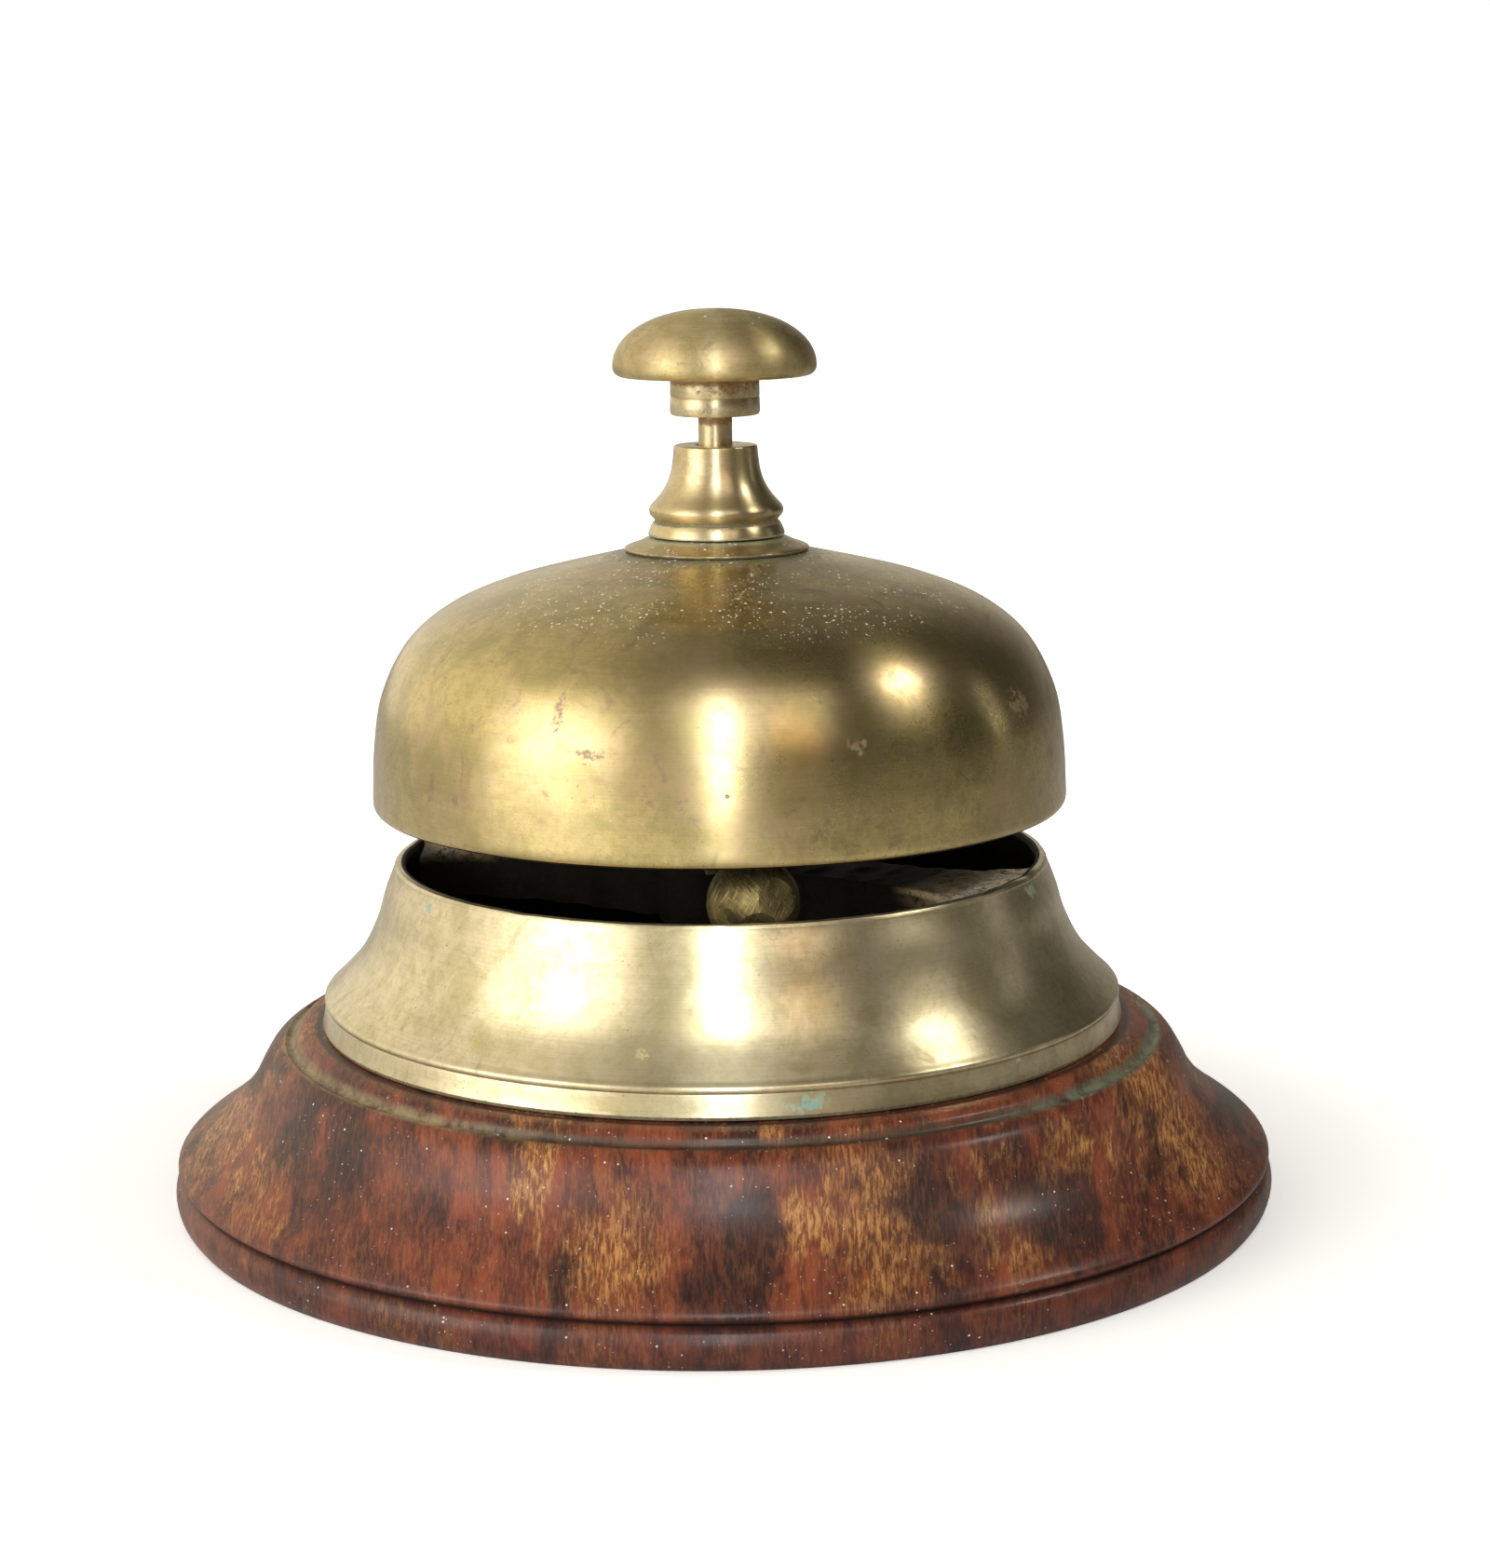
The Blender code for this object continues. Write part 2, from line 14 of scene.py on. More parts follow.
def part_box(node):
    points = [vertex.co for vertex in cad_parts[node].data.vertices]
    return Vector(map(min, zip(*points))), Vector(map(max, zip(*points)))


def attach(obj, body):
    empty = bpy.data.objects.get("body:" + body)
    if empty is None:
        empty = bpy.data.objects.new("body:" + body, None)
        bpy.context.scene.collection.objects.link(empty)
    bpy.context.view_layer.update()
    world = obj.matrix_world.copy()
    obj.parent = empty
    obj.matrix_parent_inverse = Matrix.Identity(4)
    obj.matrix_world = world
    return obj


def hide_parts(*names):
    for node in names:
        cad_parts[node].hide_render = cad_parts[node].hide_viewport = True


MM = 0.001
AROUND = 192                 # facets round the large turned pieces
AROUND_NECK = 128            # and round the smaller ones on the axis
HAMMER_BEARING = -83.0       # degrees from +X
BRIDGE_BEARING = -30.0
SCREW_BEARINGS = (30.0, 150.0, 270.0)
BASE_TOP_Z = 26.4
GROOVE_R = 63.8              # middle of the groove in the wood round the ring
RING_EDGE_R = 59.6           # the wood just outside the ring's foot
EDGE_CREASE_Z = 6.3          # between the wood's edge bead and the slope
RING_FOOT_Z = 26.7
POST_BORE_R = 4.9            # bore of the gong, dished washer and neck, which go over the post
ROD_BORE_R = 2.75            # bore of the neck, collar and knob, which the rod goes through
ROD_R = 2.45
ROD_GROOVE_R = 2.1           # in the stop collar's groove, and at the rod's chamfered top
BALL_R = 6.4                 # the hammer's head

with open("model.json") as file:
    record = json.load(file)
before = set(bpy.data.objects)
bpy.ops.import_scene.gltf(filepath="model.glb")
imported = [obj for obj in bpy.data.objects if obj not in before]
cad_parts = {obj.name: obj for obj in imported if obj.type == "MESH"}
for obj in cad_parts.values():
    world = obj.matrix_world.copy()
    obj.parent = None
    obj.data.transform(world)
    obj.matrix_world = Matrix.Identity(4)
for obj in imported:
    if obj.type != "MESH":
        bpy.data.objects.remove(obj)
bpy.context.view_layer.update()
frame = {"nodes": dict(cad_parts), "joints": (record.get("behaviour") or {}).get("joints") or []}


# ---------------------------------------------------------------- node helpers
class Tree:
    """A material's node tree with short calls for the nodes used here; lengths are in millimetres."""

    def __init__(self, name):
        self.mat = bpy.data.materials.new(name)
        self.mat.use_nodes = True
        self.nodes = self.mat.node_tree.nodes
        self.links = self.mat.node_tree.links
        self.shader = self.nodes["Principled BSDF"]
        coords = self.nodes.new("ShaderNodeTexCoord").outputs["Object"]
        self.place = self.vector("SCALE", coords, scale=1000.0)
        self.x, self.y, self.z = self.split(self.place)

    def wire(self, value, socket):
        """Link a socket to the input, or give the input a plain value."""
        if isinstance(value, bpy.types.NodeSocket):
            self.links.new(value, socket)
        elif socket.type == "RGBA" and len(value) == 3:
            socket.default_value = (*value, 1.0)
        else:
            socket.default_value = value

    def set(self, **values):
        """Wire the shader's inputs, named with underscores for spaces."""
        for key, value in values.items():
            self.wire(value, self.shader.inputs[key.replace("_", " ")])

    def vector(self, operation, a, b=None, scale=None):
        node = self.nodes.new("ShaderNodeVectorMath")
        node.operation = operation
        self.wire(a, node.inputs[0])
        if b is not None:
            self.wire(b, node.inputs[1])
        if scale is not None:
            self.wire(scale, node.inputs["Scale"])
        return node.outputs["Value" if operation == "LENGTH" else "Vector"]

    def split(self, vector):
        node = self.nodes.new("ShaderNodeSeparateXYZ")
        self.wire(vector, node.inputs[0])
        return node.outputs[0], node.outputs[1], node.outputs[2]

    def join(self, x, y, z):
        node = self.nodes.new("ShaderNodeCombineXYZ")
        for value, socket in zip((x, y, z), node.inputs):
            self.wire(value, socket)
        return node.outputs[0]

    def stretched(self, y, z):
        """The place with its Y and Z multiplied, which draws features out along them when below 1."""
        return self.join(self.x, self.math("MULTIPLY", self.y, y), self.math("MULTIPLY", self.z, z))

    def radius(self):
        """Distance from the Z axis."""
        squares = self.math("ADD", self.both(self.x, self.x), self.both(self.y, self.y))
        return self.math("SQRT", squares)

    def math(self, operation, a, b=0.0, c=0.0):
        node = self.nodes.new("ShaderNodeMath")
        node.operation = operation
        for value, socket in zip((a, b, c), node.inputs):
            self.wire(value, socket)
        return node.outputs[0]

    def noise(self, size, where=None, detail=4.0, rough=0.55, warp=0.0, w=None):
        """Noise whose features are about size millimetres."""
        node = self.nodes.new("ShaderNodeTexNoise")
        if w is not None:
            node.noise_dimensions = "4D"
            self.wire(w, node.inputs["W"])
        self.wire(where or self.place, node.inputs["Vector"])
        node.inputs["Scale"].default_value = 1.0 / size
        node.inputs["Detail"].default_value = detail
        node.inputs["Roughness"].default_value = rough
        node.inputs["Distortion"].default_value = warp
        return node.outputs["Fac"]

    def cells(self, size):
        """Distance to the nearest scattered point, in units of size millimetres, and its random colour."""
        node = self.nodes.new("ShaderNodeTexVoronoi")
        self.wire(self.place, node.inputs["Vector"])
        node.inputs["Scale"].default_value = 1.0 / size
        return node.outputs["Distance"], node.outputs["Color"]

    def span(self, value, low, high, out_low=0.0, out_high=1.0):
        """Smoothly maps low..high to out_low..out_high."""
        node = self.nodes.new("ShaderNodeMapRange")
        node.interpolation_type = "SMOOTHSTEP"
        for item, socket in zip((value, low, high, out_low, out_high), node.inputs):
            self.wire(item, socket)
        return node.outputs["Result"]

    def mix(self, factor, a, b):
        """Colour a at factor 0, colour b at factor 1."""
        node = self.nodes.new("ShaderNodeMix")
        node.data_type = "RGBA"
        self.wire(factor, node.inputs["Factor"])
        self.wire(a, node.inputs["A"])
        self.wire(b, node.inputs["B"])
        return node.outputs["Result"]

    def both(self, a, b):
        return self.math("MULTIPLY", a, b)

    def either(self, a, b):
        return self.math("MAXIMUM", a, b)

    def near(self, x, y, reach):
        """Fades from 1 at the plan point (x, y) to 0 about reach millimetres away, unevenly."""
        ragged = self.math("MULTIPLY_ADD", self.noise(reach * 0.5), reach * 1.4, -0.7 * reach)
        across = self.math("POWER", self.math("SUBTRACT", self.x, x), 2.0)
        along = self.math("POWER", self.math("SUBTRACT", self.y, y), 2.0)
        distance = self.math("ADD", self.math("SQRT", self.math("ADD", across, along)), ragged)
        return self.span(distance, reach * 0.2, reach * 1.15, 1.0, 0.0)

    def patch(self, bearing, height, wide, tall):
        """1 in a ragged patch on a turned piece, at a bearing in degrees and a height in millimetres."""
        mid = radians(bearing)
        ahead = self.math("MULTIPLY_ADD", self.x, cos(mid), self.math("MULTIPLY", self.y, sin(mid)))
        aside = self.math("MULTIPLY_ADD", self.x, -sin(mid), self.math("MULTIPLY", self.y, cos(mid)))
        across = self.math("DIVIDE", aside, wide)
        along = self.math("DIVIDE", self.math("SUBTRACT", self.z, height), tall)
        away = self.math("SQRT", self.math("ADD", self.both(across, across), self.both(along, along)))
        edge = self.noise(min(wide, tall) * 0.9, detail=6.0, rough=0.7)
        ragged = self.math("MULTIPLY_ADD", edge, 5.0, -2.5)
        inside = self.span(self.math("ADD", away, ragged), 0.45, 1.0, 1.0, 0.0)
        broken = self.span(self.noise(0.5, detail=4.0, rough=0.7), 0.36, 0.56)
        return self.both(self.both(inside, broken), self.span(ahead, 0.0, 5.0))

    def turning(self, size):
        """Fine lines that run round the Z axis, like those a lathe and a cloth leave."""
        around = 2.0         # how far the lines change on their way round
        radius = self.radius()
        unit_x = self.math("DIVIDE", self.x, self.math("ADD", radius, 0.01))
        unit_y = self.math("DIVIDE", self.y, self.math("ADD", radius, 0.01))
        where = self.join(radius, self.z, self.math("MULTIPLY", unit_x, around * size))
        return self.noise(size, where, 3.0, 0.6, w=self.math("MULTIPLY", unit_y, around))

    def bump(self, height, distance):
        """Bump, with the height's full range worth distance millimetres."""
        node = self.nodes.new("ShaderNodeBump")
        node.inputs["Strength"].default_value = 1.0
        node.inputs["Distance"].default_value = distance * MM
        self.wire(height, node.inputs["Height"])
        self.links.new(node.outputs["Normal"], self.shader.inputs["Normal"])


# ---------------------------------------------------------------- materials
GOLD = (0.72, 0.575, 0.24)
OLIVE = (0.43, 0.36, 0.14)
ROSE = (0.58, 0.43, 0.235)
PALE = (0.88, 0.79, 0.55)
UMBER = (0.16, 0.10, 0.06)
PLUM = (0.26, 0.16, 0.14)
LIME = (0.46, 0.42, 0.13)
# dark dirt; also used as painted shadow at the ring's foot
GRIME_AND_SHADE = (0.10, 0.10, 0.06)
# painted shade with a warm painted reflection in it, under the knob and under the collar
SHADE_BROWN = (0.26, 0.10, 0.02)
VERDIGRIS = (0.22, 0.48, 0.44)
DUST = (0.86, 0.83, 0.76)


def brass(name, tarnish, roughness, dusty=0.0, pale=0.0, coat=0.5, relief=1.0, bands=(), marks=()):
    """Old turned brass: mottled gold, olive and rose, brushed round the axis, with stains and dirt, and some
    painted shade.

    The roughness is that of the cleanest places. The bands and marks are laid out as in the lists below.
    """
    t = Tree(name)
    cloud = t.span(t.noise(19.0, detail=6.0, rough=0.62, warp=0.5), 0.36, 0.66)
    tone = t.mix(pale, t.mix(cloud, GOLD, ROSE), PALE)
    olive = t.span(t.noise(8.0, detail=7.0, rough=0.68, warp=0.4), 0.42, 0.66, 0.0, 0.9)
    tone = t.mix(t.math("MULTIPLY", olive, tarnish), tone, OLIVE)
    fine = t.span(t.noise(1.4, detail=5.0, rough=0.72), 0.42, 0.68, 0.0, 0.65)
    tone = t.mix(t.math("MULTIPLY", fine, tarnish), tone, OLIVE)
    stain = t.span(t.noise(7.0, detail=7.0, rough=0.70, warp=1.4), 0.55, 0.70, 0.0, 0.6)
    tone = t.mix(t.math("MULTIPLY", stain, tarnish), tone, PLUM)
    lines = t.turning(0.22)
    tone = t.mix(t.span(lines, 0.40, 0.75, 0.0, 0.14), tone, UMBER)
    pits = t.span(t.noise(0.4, detail=2.0, rough=0.4), 0.665, 0.72, 0.0, 0.5)
    pits = t.both(pits, t.span(t.noise(7.0, detail=3.0), 0.40, 0.62))
    tone = t.mix(pits, tone, UMBER)
    crust_and_shade = t.math("MULTIPLY", pits, 0.4)
    # the bands and marks darken the colour as dirt, and as painted shade where the lists below say so
    for low, high, colour, strength in bands:
        middle, half = (low + high) / 2, (high - low) / 2
        away = t.math("ABSOLUTE", t.math("SUBTRACT", t.z, middle))
        ragged = t.math("MULTIPLY_ADD", t.noise(1.0, detail=5.0, rough=0.7), half * 4.0, half * -2.0)
        band = t.span(t.math("ADD", away, ragged), half * 0.4, half * 1.4, strength, 0.0)
        tone = t.mix(band, tone, colour)
        crust_and_shade = t.either(band, crust_and_shade)
    for bearing, height, wide, tall, colour, strength in marks:
        spot = t.math("MULTIPLY", t.patch(bearing, height, wide, tall), strength)
        tone = t.mix(spot, tone, colour)
        crust_and_shade = t.either(spot, crust_and_shade)
    rough = t.math("MULTIPLY_ADD", cloud, 0.05, roughness)
    rough = t.math("MULTIPLY_ADD", stain, 0.10, rough)
    rough = t.math("MULTIPLY_ADD", fine, 0.06, rough)
    rough = t.math("MULTIPLY_ADD", crust_and_shade, 0.3, rough)
    metal = t.math("SUBTRACT", 1.0, t.math("MULTIPLY", crust_and_shade, 0.8))
    if dusty:
        up = t.split(t.nodes.new("ShaderNodeNewGeometry").outputs["Normal"])[2]
        flat = t.span(up, 0.80, 0.96)
        drift = t.span(t.noise(9.0, detail=3.0), 0.36, 0.54)
        film = t.span(t.noise(2.5, detail=6.0, rough=0.7), 0.45, 0.75, 0.0, 0.10)
        dust = t.both(flat, film)
        for size in (1.1, 0.6):
            gap, value = t.cells(size)
            speck = t.span(gap, 0.12, 0.24, 1.0, 0.0)
            chosen = t.span(t.split(value)[0], 1.0 - dusty, 1.0 - dusty + 0.02)
            dust = t.either(t.both(t.both(speck, chosen), t.both(drift, flat)), dust)
        tone = t.mix(dust, tone, DUST)
        metal = t.both(metal, t.math("SUBTRACT", 1.0, dust))
        rough = t.math("MULTIPLY_ADD", dust, 0.5, rough)
    t.set(Base_Color=tone, Roughness=rough, Metallic=metal, Anisotropic=0.7, Anisotropic_Rotation=0.25)
    t.set(Coat_Weight=coat, Coat_Roughness=0.24)
    tangent = t.nodes.new("ShaderNodeTangent")
    tangent.direction_type = "RADIAL"
    tangent.axis = "Z"
    t.links.new(tangent.outputs[0], t.shader.inputs["Tangent"])
    slanted = t.join(t.math("MULTIPLY", t.x, 0.4), t.y, t.math("MULTIPLY", t.z, 0.9))
    scratch = t.noise(0.6, slanted, 4.0, 0.75)
    height = t.math("ADD", t.math("MULTIPLY", lines, 0.5), t.math("MULTIPLY", scratch, 0.6))
    t.bump(height, 0.014 * relief)
    return t.mat


def cast_brass(name):
    """Sand-cast brass, coarse grain: painted nearly black as shade in the middle; at the ends worn golden and
    partly painted light, with a painted highlight along the top edge, and verdigrised.
    """
    t = Tree(name)
    grain = t.noise(0.5, detail=6.0, rough=0.75)
    radius = t.radius()
    outer = t.both(t.span(radius, 32.0, 39.0), t.span(t.z, 46.5, 48.5))
    # painted shade: the skin is nearly black where the gong shades the bar and the hub
    painted_shade_skin = t.mix(t.span(t.noise(5.0, detail=5.0), 0.35, 0.65), (0.012, 0.009, 0.005), (0.020, 0.016, 0.010))
    # golden bare brass at the bar's ends, worn and partly painted light
    bare = t.both(outer, t.span(t.noise(1.6, detail=6.0, rough=0.75), 0.34, 0.58))
    tone = t.mix(bare, painted_shade_skin, (0.46, 0.34, 0.19))
    # pale worn brass on the pads, partly painted light where light reaches them past the gong
    pad = t.both(t.span(radius, 39.0, 44.0), t.span(t.z, 47.5, 49.0))
    worn = t.both(pad, t.span(t.noise(1.1, detail=6.0, rough=0.75), 0.42, 0.54))
    tone = t.mix(worn, tone, (0.92, 0.84, 0.66))
    # painted highlight: a golden line along the top edge at the ends
    edge = t.both(t.span(t.z, 48.7, 49.3), t.span(t.z, 49.6, 50.1, 1.0, 0.0))
    tone = t.mix(t.both(t.both(edge, outer), t.span(grain, 0.34, 0.50)), tone, (0.95, 0.74, 0.42))
    green = t.both(t.span(t.noise(2.0, detail=5.0), 0.57, 0.66, 0.0, 0.8), pad)
    tone = t.mix(green, tone, (0.42, 0.72, 0.68))
    elsewhere = t.vector("ADD", t.place, (31.0, 7.0, 0.0))
    red = t.span(t.noise(2.6, elsewhere, 4.0), 0.60, 0.68, 0.0, 0.9)
    tone = t.mix(t.both(red, pad), tone, (0.30, 0.05, 0.05))
    t.set(Base_Color=tone, Roughness=t.math("MULTIPLY_ADD", grain, 0.3, 0.42), Specular_IOR_Level=0.2)
    t.set(Metallic=t.math("MULTIPLY", outer, 0.3))
    t.bump(t.math("ADD", grain, t.noise(2.4, detail=3.0)), 0.35)
    return t.mat


def filed_brass(name):
    """Bare brass shaped with a file: dull gold, with short crossing cuts and a darker bloom."""
    t = Tree(name)
    cuts = []
    for lean in (0.9, -0.5):
        aside = t.math("MULTIPLY_ADD", t.z, lean, t.x)
        where = t.join(aside, t.math("MULTIPLY", t.y, 0.4), t.math("MULTIPLY", t.z, 0.08))
        cuts.append(t.noise(0.5, where, 4.0, 0.7))
    file_marks = t.either(*cuts)
    bloom = t.span(t.noise(4.0, detail=5.0, rough=0.6), 0.38, 0.64)
    tone = t.mix(bloom, (0.32, 0.25, 0.10), (0.13, 0.10, 0.04))
    tone = t.mix(t.span(file_marks, 0.52, 0.70, 0.0, 0.7), tone, (0.50, 0.41, 0.19))
    t.set(Base_Color=tone, Roughness=t.math("MULTIPLY_ADD", file_marks, 0.2, 0.34), Metallic=0.85)
    t.bump(file_marks, 0.22)
    return t.mat


def shaded_inside_brass(name):
    """Tarnished brass where no cloth reaches, painted brown-black as the shade inside the gong and the ring.
    """
    t = Tree(name)
    cloud = t.span(t.noise(6.0, detail=5.0), 0.40, 0.68)
    # painted shade: nearly black
    tone = t.mix(cloud, (0.006, 0.005, 0.003), (0.018, 0.013, 0.006))
    t.set(Base_Color=tone, Roughness=t.math("MULTIPLY_ADD", t.noise(2.0), 0.2, 0.45), Metallic=0.4)
    t.set(Specular_IOR_Level=0.25)
    t.bump(t.turning(0.6), 0.03)
    return t.mat


def steel(name):
    """Dull, lightly oiled steel with brown bloom."""
    t = Tree(name)
    bloom = t.span(t.noise(2.5, detail=6.0, rough=0.65), 0.50, 0.72)
    tone = t.mix(bloom, (0.40, 0.39, 0.37), (0.16, 0.09, 0.05))
    t.set(Base_Color=tone, Roughness=t.math("MULTIPLY_ADD", bloom, 0.3, 0.33))
    t.set(Metallic=t.math("MULTIPLY_ADD", bloom, -0.6, 1.0))
    t.bump(t.noise(0.5, detail=4.0), 0.03)
    return t.mat


def wood(name):
    """Red-brown lacquer over short-grained hardwood, worn to orange in patches, with dark stains and dust."""
    t = Tree(name)
    radius = t.radius()
    fleck = t.span(t.noise(0.42, t.stretched(0.16, 0.20), 5.0, 0.72, 0.4), 0.42, 0.62)
    band = t.noise(2.0, t.stretched(0.05, 0.10), 4.0, 0.55)
    wide = t.stretched(0.45, 0.6)
    cloud = t.noise(15.0, wide, 5.0, 0.62, 0.6)
    # lacquer
    patchy = t.span(t.noise(6.0, wide, 6.0, 0.66), 0.38, 0.62)
    red = t.mix(patchy, (0.060, 0.009, 0.007), (0.24, 0.050, 0.020))
    red = t.mix(t.span(band, 0.45, 0.60, 0.0, 0.6), red, (0.040, 0.007, 0.007))
    red = t.mix(t.math("MULTIPLY", fleck, 0.30), red, (0.40, 0.14, 0.045))
    # bare wood where it is worn, less so low down on the edge
    bare = t.mix(fleck, (0.18, 0.050, 0.013), (0.58, 0.28, 0.085))
    worn = t.span(t.math("MULTIPLY_ADD", band, 0.25, cloud), 0.655, 0.76, 0.0, 0.9)
    for x, y, reach in WORN_SPOTS:
        worn = t.either(worn, t.math("MULTIPLY", t.near(x, y, reach), 0.9))
    worn = t.both(worn, t.span(t.z, 6.0, 13.0, 0.25, 1.0))
    tone = t.mix(worn, red, bare)
    # dark stains, and a darker edge
    stain = t.span(t.noise(9.0, t.stretched(0.35, 0.5), 5.0, 0.6, 0.3), 0.51, 0.64, 0.0, 0.88)
    for x, y, reach in DARK_SPOTS:
        stain = t.either(stain, t.math("MULTIPLY", t.near(x, y, reach), 0.9))
    tone = t.mix(stain, tone, t.mix(fleck, (0.012, 0.004, 0.004), (0.065, 0.017, 0.010)))
    tone = t.mix(t.span(t.z, 5.5, 10.0, 0.35, 0.0), tone, (0.034, 0.008, 0.009))
    # the groove is darkened, and dried polish lies beside it, tan on the left and green on the right
    away = t.math("ABSOLUTE", t.math("SUBTRACT", radius, GROOVE_R))
    tone = t.mix(t.span(away, 0.25, 1.3, 0.85, 0.0), tone, (0.020, 0.010, 0.006))
    residue = t.span(t.noise(5.0, detail=7.0, rough=0.75), 0.34, 0.60)
    residue = t.both(t.span(away, 0.4, 1.4, 0.8, 0.0), residue)
    sides = t.either(t.span(t.x, -38.0, -18.0, 1.0, 0.12), t.span(t.x, 30.0, 52.0, 0.12, 0.9))
    polish = t.mix(t.span(t.x, 0.0, 40.0), (0.36, 0.27, 0.13), (0.24, 0.28, 0.18))
    tone = t.mix(t.both(residue, sides), tone, polish)
    # painted shadow: a dark line beside the ring's foot; and a dark line in the crease above the edge bead
    rim = t.math("ABSOLUTE", t.math("SUBTRACT", radius, RING_EDGE_R))
    tone = t.mix(t.span(rim, 0.2, 0.8, 0.9, 0.0), tone, (0.020, 0.012, 0.008))
    crease = t.math("ABSOLUTE", t.math("SUBTRACT", t.z, EDGE_CREASE_Z))
    line = t.both(t.span(crease, 0.15, 0.8, 0.9, 0.0), t.span(radius, 76.0, 78.0))
    tone = t.mix(line, tone, (0.025, 0.010, 0.008))
    speck = 0.0
    for size in (1.6, 0.8):
        gap, value = t.cells(size)
        spot = t.both(t.span(gap, 0.06, 0.12, 1.0, 0.0), t.span(t.split(value)[0], 0.60, 0.62))
        speck = t.either(speck, spot)
    speck = t.both(speck, t.span(t.noise(14.0), 0.40, 0.60))
    tone = t.mix(speck, tone, DUST)
    rough = t.math("MULTIPLY_ADD", worn, 0.12, 0.42)
    rough = t.math("MULTIPLY_ADD", t.noise(3.0, detail=5.0), 0.15, rough)
    t.set(Base_Color=tone, Roughness=t.math("MULTIPLY_ADD", speck, 0.3, rough), IOR=1.5)
    t.set(Coat_Weight=0.40, Coat_Roughness=0.28, Specular_IOR_Level=0.3)
    t.bump(t.math("ADD", t.math("MULTIPLY", fleck, 0.6), t.noise(0.4, detail=3.0)), 0.05)
    return t.mat


def felt(name):
    """Pressed wool felt."""
    t = Tree(name)
    fibre = t.noise(0.5, detail=6.0, rough=0.75, warp=2.0)
    tone = t.mix(t.span(fibre, 0.3, 0.7), (0.012, 0.035, 0.018), (0.035, 0.085, 0.042))
    t.set(Base_Color=tone, Roughness=0.95, Sheen_Weight=0.4, Sheen_Roughness=0.5)
    t.bump(fibre, 0.25)
    return t.mat


def fibre(name):
    """Red vulcanised fibre."""
    t = Tree(name)
    cloud = t.span(t.noise(1.5), 0.35, 0.65)
    tone = t.mix(cloud, (0.22, 0.04, 0.025), (0.32, 0.08, 0.04))
    t.set(Base_Color=tone, Roughness=0.75)
    t.bump(t.noise(0.4), 0.05)
    return t.mat


# bands of dirt, and of painted shade, round the brass: low, high, colour, strength
GONG_BANDS = ((94.6, 96.0, GRIME_AND_SHADE, 0.7),)
# painted shadow: a dark line round the ring's foot where it sits on the wood
RING_FOOT_SHADOW_BANDS = ((26.5, 27.1, GRIME_AND_SHADE, 0.8),)
NECK_BANDS = ((99.3, 99.9, GRIME_AND_SHADE, 0.8), (97.6, 97.9, VERDIGRIS, 0.3))
SKIRT_BANDS = ((95.3, 95.7, GRIME_AND_SHADE, 0.9), (96.9, 97.6, VERDIGRIS, 0.3))
# painted shade: a dark brown band round the collar's top, under the knob
COLLAR_SHADE_BANDS = ((119.3, 120.1, SHADE_BROWN, 0.7),)
# painted shadow: a dark brown band round the rod's top, under the collar
ROD_SHADOW_BANDS = ((113.4, 114.8, SHADE_BROWN, 0.8),)

# marks on the brass, some of them painted shade: bearing, height, half width, half height, colour, strength
GONG_MARKS = (
    (-116.0, 79.0, 0.8, 2.6, PLUM, 0.7),
    (-110.0, 73.5, 2.4, 0.9, PLUM, 0.6),
    (-130.0, 68.0, 1.6, 3.4, LIME, 0.5),
    (-88.4, 68.5, 0.5, 0.5, UMBER, 0.9),
    (-68.0, 74.0, 1.6, 1.2, PLUM, 0.5),
    (-72.0, 81.0, 1.2, 1.0, PLUM, 0.5),
    (-30.0, 76.0, 3.0, 2.0, PLUM, 0.4),
    (60.0, 70.0, 3.0, 1.5, PLUM, 0.5),
    (140.0, 77.0, 2.0, 3.0, LIME, 0.4),
)
COLLAR_MARKS_AND_SHADE = (
    # painted shade: a brown patch under the knob's rim, with a warm painted reflection
    (-62.0, 118.9, 4.5, 1.0, SHADE_BROWN, 0.8),
    (-98.0, 116.2, 0.9, 0.8, UMBER, 0.5),
    (-92.0, 115.6, 5.0, 0.7, GRIME_AND_SHADE, 0.3),
    # painted shade: a brown line under the knob's rim
    (-100.0, 119.6, 5.0, 0.5, SHADE_BROWN, 0.6),
)
RING_MARKS = (
    (-79.0, 28.4, 2.6, 1.3, VERDIGRIS, 1.0),
    (-147.0, 48.3, 1.0, 0.9, VERDIGRIS, 0.8),
    (-126.0, 34.0, 1.2, 1.4, LIME, 0.8),
    (-101.0, 34.6, 1.0, 0.8, LIME, 0.8),
    (-24.0, 48.6, 2.0, 1.0, VERDIGRIS, 0.6),
    (-46.0, 30.0, 1.2, 0.6, VERDIGRIS, 0.5),
    (50.0, 40.0, 2.5, 2.0, LIME, 0.5),
    (110.0, 29.0, 2.0, 0.8, VERDIGRIS, 0.6),
)

# places on the wood, seen from above: x, y, reach
WORN_SPOTS = (
    (-15.0, -75.0, 9.0),
    (-72.0, -8.0, 20.0),
    (62.0, -30.0, 14.0),
    (22.0, -68.0, 10.0),
    (-66.0, 20.0, 16.0),
)
DARK_SPOTS = (
    (28.0, -65.0, 9.0),
    (-52.0, -48.0, 8.0),
    (-58.0, -36.0, 7.0),
    (45.0, -58.0, 10.0),
    (-2.0, -78.0, 5.0),
    (70.0, 30.0, 16.0),
    (-30.0, 70.0, 15.0),
)


